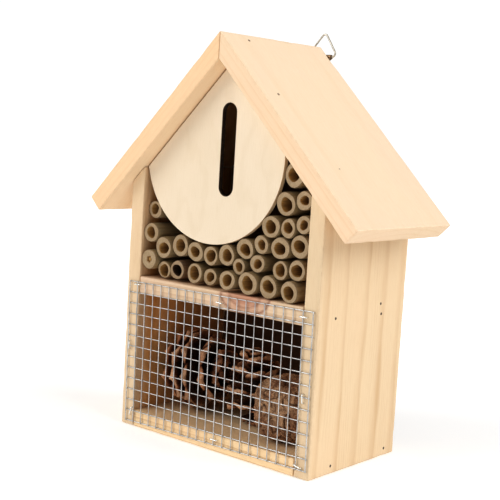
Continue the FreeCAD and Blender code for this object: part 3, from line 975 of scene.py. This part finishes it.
def make_wire_mesh(zinc):
    """Each wire bends a little over the ones it crosses, and sinks into them where it is welded."""
    node = "wire_mesh"
    parts = []
    wire = (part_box(node)[1].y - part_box(node)[0].y) / 4
    for number, points in enumerate(solids_of(node)):
        low, high, direction = main_axis(points)
        upright = abs(direction[2]) > 0.7
        across = np.array([1.0, 0, 0]) if upright else np.array([0, 0, 1.0])
        weld = MESH_WELD if upright else 0.0
        path = []
        for i in range(MESH_STEPS + 1):
            t = i / MESH_STEPS
            sway = MESH_SWAY * wobble((number * 3.1, t * 4.0, 0.0), 1.0, 4.0)
            lift = MESH_LIFT * wobble((number * 1.3, t * 9.0, 5.0), 1.0, 2.0)
            path.append(low + (high - low) * t + across * sway + np.array([0, weld + lift, 0]))
        path[0] = path[0] + np.array([0, 0.00002, 0])
        parts.append(sweep(path, wire * 0.98, 10))
    add_parts(node, parts, zinc)


STAPLE_WIRE = 0.00035
STAPLE_BEND = 0.0008
STAPLE_ARCH = 0.00012


def make_staples(steel):
    """Wire bent to a U, its slightly arched crown across a wire of the mesh."""
    node = "staples"
    parts = []
    for points in solids_of(node):
        front = points[:, 1].min()
        crown = points[points[:, 1] < front + STAPLE_WIRE * 2]
        middle = (crown.max(0) + crown.min(0)) / 2
        flat = points[:, [0, 2]]
        long_way = np.linalg.eigh(np.cov((flat - flat.mean(0)).T))[1][:, -1]
        reach = np.ptp(flat @ long_way) / 2 - STAPLE_WIRE
        y = front + STAPLE_WIRE
        leg = [(reach, points[:, 1].max() - y), (reach, STAPLE_BEND * 1.6)]
        for k in range(7):
            a = math.pi / 2 * k / 6
            leg.append((reach - STAPLE_BEND * (1 - math.cos(a)), STAPLE_BEND * (1 - math.sin(a))))
        arch = [((reach - STAPLE_BEND) * t, STAPLE_ARCH * (1 - abs(t))) for t in (-0.5, 0.0, 0.5)]
        line = [(-out, depth) for out, depth in leg] + arch + leg[::-1]
        path = [(middle[0] + long_way[0] * out, y + depth, middle[2] + long_way[1] * out)
                for out, depth in line]
        parts.append(sweep(path, STAPLE_WIRE, 12))
    add_parts(node, parts, steel)


# Height below the top of a nail's head, and the share of the head's radius there
NAIL_HEAD = ((0.0, 0.3), (0.00001, 0.7), (0.00004, 0.9), (0.00012, 1.0), (0.0004, 0.97))
NAIL_NECK = 0.0005
NAIL_POINT = 0.0016


def make_nails(node, steel):
    """Heads with a rounded rim and a shallow dished top, on a plain shank."""
    parts = []
    for points in solids_of(node):
        low, high, direction = main_axis(points)
        spread = []
        for end in (low, high):
            off = points - end
            near = off[np.abs(off @ direction) < SURFACE]
            spread.append(np.linalg.norm(near, axis=1).max())
        head, tip = (low, high) if spread[0] > spread[1] else (high, low)
        radius = max(spread)
        shank = min(spread)
        length = np.linalg.norm(tip - head)
        profile = [(height, radius * share) for height, share in NAIL_HEAD]
        profile += [(NAIL_NECK, shank), (length - NAIL_POINT, shank), (length, shank * 0.15)]
        parts.append(turned(profile, head, tip - head))
    add_parts(node, parts, steel)


# ---- hanger

STRAP_PLATE = 0.0014
STRAP_GAP = 0.00004
STRAP_CORNER = 0.0018
STRAP_SOFT = 0.00012
STRAP_TAPER = 0.36
STRAP_SLICES = 28
CURL_STEPS = 24
CURL_FROM = math.radians(215)
CURL_TO = math.radians(-75)


def make_strap(brass):
    """A strip folded over the ring's wire, with its two layers pressed together below."""
    node = "hanger_strap"
    low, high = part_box(node)
    axis = Vector(next(j for j in frame["joints"] if j["name"] == "ring_swing")["pos_m"])
    sheet = STRAP_PLATE / 2 - STRAP_GAP
    middle = high.z - axis.z - sheet / 2
    shoulder = axis.z - middle * 1.15
    back_y = low.y + sheet / 2
    front_y = low.y + STRAP_PLATE - sheet / 2
    line = [(back_y, low.z), (back_y, shoulder)]
    for k in range(CURL_STEPS + 1):
        a = CURL_FROM + (CURL_TO - CURL_FROM) * k / CURL_STEPS
        line.append((axis.y + middle * math.cos(a), axis.z + middle * math.sin(a)))
    line += [(front_y, axis.z - middle * 1.9), (front_y, low.z)]
    middle_x = (low.x + high.x) / 2
    points = []
    for i in range(STRAP_SLICES + 1):
        x = low.x + (high.x - low.x) * i / STRAP_SLICES
        cut = max(0.0, STRAP_CORNER - min(x - low.x, high.x - x))
        lift = STRAP_CORNER - math.sqrt(max(0.0, STRAP_CORNER ** 2 - cut ** 2))
        soft = STRAP_SOFT if i in (0, STRAP_SLICES) else 0.0
        left, right = [], []
        for k, (y, z) in enumerate(line):
            ahead = Vector(line[min(len(line) - 1, k + 1)]) - Vector(line[max(0, k - 1)])
            across = Vector((ahead.y, -ahead.x)).normalized() * (sheet / 2 - soft)
            if z < low.z + 1e-6:
                z += lift
            below = max(0.0, shoulder - z) / (shoulder - low.z)
            wide = middle_x + (x - middle_x) * (1 - STRAP_TAPER * below)
            left.append((wide, y + across.x, z + across.y))
            right.append((wide, y - across.x, z - across.y))
        points += left + right[::-1]
    add_piece(node, points, closed_tube(STRAP_SLICES + 1, 2 * len(line)), [brass],
              smooth=False)


SCREW_RINGS = 26
SCREW_AROUND = 64
CROSS_LENGTH = 0.0013
CROSS_WIDTH = 0.0003
CROSS_DEPTH = 0.0006
SCREW_SHANK = [(0.0, 0.0012), (0.011, 0.0012), (0.0138, 0.0002)]


def make_screw(brass):
    """A domed head with a cross cut into it, and a plain shank with a point."""
    node = "hanger_screw"
    low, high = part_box(node)
    radius = (high.x - low.x) / 2
    seat = Vector(((low.x + high.x) / 2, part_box("hanger_strap")[0].y + STRAP_PLATE, (low.z + high.z) / 2))
    height = high.y - seat.y
    points = []
    for i in range(SCREW_RINGS):
        r = radius * (i + 1) / SCREW_RINGS
        for offset in circle(Vector(), Vector((1, 0, 0)), Vector((0, 0, 1)), r, SCREW_AROUND):
            x, z = abs(offset.x), abs(offset.z)
            offset.y = height * math.sqrt(max(0.0, 1 - 0.93 * (r / radius) ** 2.6))
            if min(max(x / CROSS_LENGTH, z / CROSS_WIDTH), max(z / CROSS_LENGTH, x / CROSS_WIDTH)) < 1.0:
                offset.y -= CROSS_DEPTH
            points.append(seat + offset)
    hub = len(points)
    points.append(seat + Vector((0, height - CROSS_DEPTH, 0)))
    start = hub + 1
    points += circle(seat, Vector((1, 0, 0)), Vector((0, 0, 1)), radius * 0.96, SCREW_AROUND)
    faces = tube_faces(SCREW_RINGS, SCREW_AROUND)
    edge = hub - SCREW_AROUND
    for k in range(SCREW_AROUND):
        n = (k + 1) % SCREW_AROUND
        faces += [(hub, n, k), (edge + k, edge + n, start + n, start + k)]
    faces.append(tuple(range(start, start + SCREW_AROUND)))
    add_parts(node, [(points, faces), turned(SCREW_SHANK, seat, (0, -1, 0))], brass)


def dress_ring(steel):
    """The ring's CAD shape is right, so it keeps its mesh and takes the wire's finish."""
    ring = NODES["hanging_ring"]
    ring.data.materials.clear()
    ring.data.materials.append(steel)
    ring.data.polygons.foreach_set("use_smooth", [True] * len(ring.data.polygons))


# ---- cones and bark

SCALE_ROWS = 14
SCALE_COLUMNS = 9
SCALE_CURL = 0.12


def scale_mesh(reach, half_width, thick):
    """One woody scale: a thin blade, narrow at the stalk, with a thick blunt tip and a small boss."""
    top, under, along = [], [], []
    for i in range(SCALE_ROWS):
        u = i / (SCALE_ROWS - 1)
        rise = min(1.0, u / 0.72)
        spread = half_width * (0.34 + 0.66 * rise * rise * (3 - 2 * rise))
        if u > 0.78:
            spread *= math.sqrt(max(0.0, 1 - ((u - 0.78) / 0.225) ** 2 * 0.93))
        body = thick * (0.34 + 0.12 * u + 0.62 * math.exp(-((u - 0.93) / 0.10) ** 2))
        for j in range(SCALE_COLUMNS):
            v = 2 * j / (SCALE_COLUMNS - 1) - 1
            line = SCALE_CURL * reach * u ** 2.4 - 0.05 * reach * math.sin(u * math.pi)
            cup = 0.14 * half_width * v * v
            keel = thick * 0.30 * math.exp(-(v / 0.22) ** 2) * (u > 0.3)
            boss = thick * 0.5 * math.exp(-((u - 0.97) / 0.05) ** 2 - (v / 0.30) ** 2)
            rim = body * (1 - 0.55 * abs(v) ** 2.5)
            top.append((reach * u, spread * v, line + cup + rim * 0.35))
            under.append((reach * u + boss * 0.6, spread * v, line + cup - rim * 0.65 - boss - keel * 0.4))
            along.append(u)
    count = SCALE_ROWS * SCALE_COLUMNS
    grid = np.arange(count).reshape(SCALE_ROWS, SCALE_COLUMNS)
    faces = []
    for a in grid[:-1, :-1].ravel().tolist():
        b = a + SCALE_COLUMNS
        faces += [(a, b, b + 1, a + 1), (count + a, count + a + 1, count + b + 1, count + b)]
    border = np.concatenate([grid[0], grid[1:, -1], grid[-1, -2::-1], grid[-2:0:-1, 0]]).tolist()
    faces += [(a, b, count + b, count + a) for a, b in zip(border, border[1:] + border[:1])]
    facing = np.repeat([1.0, 0.0], count)
    return np.array(top + under), faces, np.array(along + along), facing


# Whorls of a cone from the stalk: place along the axis, reach, number of scales, their lift in
# degrees, and how pale their rims are, which is painted light and shade: below 1 darkens whorls
# that lie in shade, above 1 brightens lit ones
LARGE_WHORLS = [(-0.354, 0.94, 10, -12, 0.90), (-0.316, 1.00, 10, 0, 1.00), (-0.257, 0.97, 10, 8, 0.985),
                (-0.053, 0.82, 8, 26, 0.95), (0.079, 0.52, 7, 46, 0.89), (0.166, 0.27, 5, 62, 0.86)]
SMALL_WHORLS = [(-0.44, 0.50, 6, -24, 0.88), (-0.27, 0.95, 7, -8, 1.03), (-0.09, 1.00, 7, 6, 1.04),
                (0.09, 0.86, 7, 24, 1.03), (0.24, 0.58, 6, 44, 1.0), (0.35, 0.30, 4, 62, 0.98)]
# The core of a cone as (place, radius), and the sizes of core and scale as shares of the cone's radius
CONE_CORE = [(-0.46, 0.02), (-0.43, 0.10), (-0.3, 0.15), (0.0, 0.14), (0.25, 0.09), (0.36, 0.02)]
SCALE_THICKNESS = 0.115
CORE_SHARE = 0.10


def spun(points, angle, first, second):
    """Points turned by an angle from the first axis towards the second."""
    out = points.copy()
    out[:, first] = points[:, first] * math.cos(angle) - points[:, second] * math.sin(angle)
    out[:, second] = points[:, first] * math.sin(angle) + points[:, second] * math.cos(angle)
    return out


def make_cone(node, material, whorls, seed, lean, bearing, spin, size):
    """Whorls of open woody scales round a core, flat open near the stalk and closing at the tip."""
    rng = random.Random(seed)
    low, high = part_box(node)
    length, diameter = size
    radius = diameter / 2
    core = radius * CORE_SHARE
    parts = []
    kept = {"reach_and_painted_light": [], "face_up": [], "own_tone": [], "grain": []}
    for row, (place, out, count, open_lift, painted_light_level) in enumerate(whorls):
        for k in range(count):
            angle = 2 * math.pi * (k + 0.5 * row) / count + spin + 0.30 * row + rng.uniform(-0.09, 0.09)
            height = length * (place + rng.uniform(-0.018, 0.018))
            lift = math.radians(open_lift + rng.uniform(-6, 6))
            reach = (radius * out - core) / max(0.42, math.cos(lift)) * rng.uniform(0.92, 1.0)
            half_width = math.pi * radius * out / count * rng.uniform(0.86, 1.0)
            flat, faces, along, facing = scale_mesh(reach, half_width, radius * SCALE_THICKNESS)
            points = spun(flat, rng.uniform(-0.20, 0.20), 1, 2)
            points = spun(points, lift, 0, 2) + np.array([core, 0, height])
            # Painted light and shade: each whorl's level shifts its scales darker or paler
            kept["reach_and_painted_light"].append(along * painted_light_level)
            kept["face_up"].append(facing)
            kept["own_tone"].append(np.full(len(along), rng.random()))
            kept["grain"].append(flat + np.array([len(parts) * 0.013, 0, 0]))
            parts.append((spun(points, angle, 0, 1), faces))
    points, faces = turned([(h * length, r * radius) for h, r in CONE_CORE], (0, 0, 0), (0, 0, 1), 16)
    parts.append((np.array([tuple(p) for p in points]), faces))
    for key, values in kept.items():
        values.append(parts[-1][0] if key == "grain" else np.zeros(len(points)))
    points, faces = gather(parts)
    points = spun(spun(np.array(points), math.radians(lean), 2, 0), math.radians(bearing), 0, 1)
    points *= np.array(high - low) / np.ptp(points, axis=0)
    points += np.array(low) - points.min(0)
    attributes = {key: np.concatenate(values) for key, values in kept.items()}
    add_piece(node, points, faces, [material], None, attributes)


BARK_BLOCK = 3.0
BARK_BEND = 0.22
CRACK_WIDTH = 0.10


def make_bark(material):
    """A lump of bark: a blocky shape with a crumbly skin and a few deep cracks."""
    node = "bark_chunk"
    low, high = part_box(node)
    centre = (low + high) / 2
    half = (high - low) / 2
    work = bmesh.new()
    bmesh.ops.create_icosphere(work, subdivisions=7, radius=1.0)
    points, crevice_shade = [], []
    for vert in work.verts:
        d = vert.co.normalized()
        block = sum(abs(c) ** BARK_BLOCK for c in d) ** (-1 / BARK_BLOCK)
        bent = d + BARK_BEND * Vector([wobble(d, 2.2, seed) for seed in (1.0, 2.0, 3.0)])
        furrow = abs(wobble(Vector((bent.x, bent.y, bent.z * 0.6)), 3.4, 7.0))
        crack = max(0.0, 1 - furrow / CRACK_WIDTH) ** 1.5
        crumb = noise.ridged_multi_fractal(bent * 4.2, 0.9, 2.2, 6, 0.9, 1.8) / 3.0
        grit = noise.fractal(d * 30.0, 0.55, 2.1, 4)
        r = 0.93 * block + 0.09 * wobble(d, 1.4, 6.0) - 0.07 * crack
        r += 0.075 * (crumb - 0.45) + 0.016 * grit - 0.01
        points.append(d * half * r)
        # How much painted shade darkens each point: deep in a crack or low in the crumbly skin
        crevice_shade.append(min(1.0, 0.8 * crack + max(0.0, 0.8 - 1.6 * crumb)))
    faces = [[v.index for v in f.verts] for f in work.faces]
    work.free()
    points = np.clip([p[:] for p in points], -np.array(half), np.array(half))
    points[:, 2] += -half.z - points[:, 2].min()
    points += np.array(centre)
    add_piece(node, points, faces, [material], None, {"crevice_shade": crevice_shade})


# ---- build

make_studio()

# Light wood, dark rings, stain, width of a ring in millimetres, and strength of the figure
PINE_LOOKS = {
    "roof_right": ((0.90, 0.74, 0.56), (0.76, 0.53, 0.31), (0.90, 0.72, 0.56), 4.1, 0.60),
    "roof_left": ((0.93, 0.745, 0.53), (0.74, 0.50, 0.28), (0.92, 0.72, 0.52), 3.7, 0.50),
    "side_right": ((0.775, 0.62, 0.43), (0.58, 0.385, 0.21), (0.775, 0.60, 0.415), 17.5, 0.66),
    "side_left": ((0.84, 0.67, 0.47), (0.62, 0.41, 0.22), (0.82, 0.635, 0.435), 12.0, 0.75),
    "floor_board": ((0.95, 0.735, 0.47), (0.58, 0.36, 0.18), (0.92, 0.67, 0.42), 5.0, 0.85),
    "shelf_board": ((0.80, 0.63, 0.45), (0.58, 0.38, 0.23), (0.80, 0.57, 0.43), 5.0, 0.65),
}
PINE = {name: pine("pine_" + name.replace("_board", ""), *look) for name, look in PINE_LOOKS.items()}
PLY = plywood("plywood_face", (0.84, 0.725, 0.575), (0.70, 0.57, 0.40), (0.12, 0.055, 0.028))
BOARD_BACK = plywood("hardboard", (0.135, 0.070, 0.038), (0.085, 0.040, 0.020), (0.03, 0.012, 0.006))
PLY_EDGE = plywood("plywood_cut_edge", (0.72, 0.54, 0.34), (0.48, 0.32, 0.18), (0.025, 0.011, 0.006))
ZINC = metal("zinc_wire", (0.65, 0.65, 0.65), (0.40, 0.40, 0.41), 0.34, share=0.75)
BRIGHT = metal("staple_steel", (0.90, 0.90, 0.88), (0.70, 0.70, 0.68), 0.20)
NAIL = metal("nail_steel", (0.16, 0.13, 0.11), (0.06, 0.045, 0.035), 0.5)
ROOF_NAIL = metal("roof_nail_steel", (0.36, 0.25, 0.18), (0.18, 0.12, 0.08), 0.5)
BRASS = metal("bronzed_brass", (0.42, 0.29, 0.18), (0.20, 0.13, 0.08), 0.42)
RING = metal("ring_steel", (0.60, 0.56, 0.49), (0.40, 0.37, 0.32), 0.34)
CANE = [cane_skin("cane_skin", (0.44, 0.32, 0.17), (0.23, 0.15, 0.07), (0.27, 0.215, 0.135)),
        cane_end("cane_end", (0.47, 0.36, 0.235), (0.33, 0.235, 0.135), (0.17, 0.11, 0.06)),
        cane_bore("cane_bore", (0.62, 0.39, 0.15), (0.18, 0.080, 0.024))]
DARK_CANE = [cane_skin("dark_cane_skin", (0.30, 0.18, 0.10), (0.15, 0.085, 0.045), (0.20, 0.15, 0.11)),
             cane_end("dark_cane_end", (0.42, 0.31, 0.20), (0.29, 0.20, 0.12), (0.13, 0.08, 0.045)),
             cane_bore("dark_cane_bore", (0.10, 0.05, 0.025), (0.012, 0.007, 0.005))]
CONE = cone_scale("cone_scale")
BARK = bark_skin("bark_skin")

make_flat_boards(PINE)
make_side_boards(PINE)
make_roof_boards(PINE)
make_back_panel(BOARD_BACK)
make_gable_panel(PLY, PLY_EDGE)
for seed, cane_node in enumerate(CANE_NODES, FIRST_CANE_SEED):
    is_dark = cane_node == "cane_a3"
    make_cane(cane_node, DARK_CANE if is_dark else CANE, seed)
make_wire_mesh(ZINC)
make_staples(BRIGHT)
make_nails("wall_nails", NAIL)
make_nails("roof_nails", ROOF_NAIL)
make_cone("pine_cone_large", CONE, LARGE_WHORLS, seed=5, lean=84.0, bearing=5.0, spin=0.4,
          size=(0.037, 0.0485))
make_cone("pine_cone_small", CONE, SMALL_WHORLS, seed=8, lean=5.0, bearing=180.0, spin=0.0,
          size=(0.043, 0.035))
make_bark(BARK)
make_strap(BRASS)
make_screw(BRASS)
dress_ring(RING)
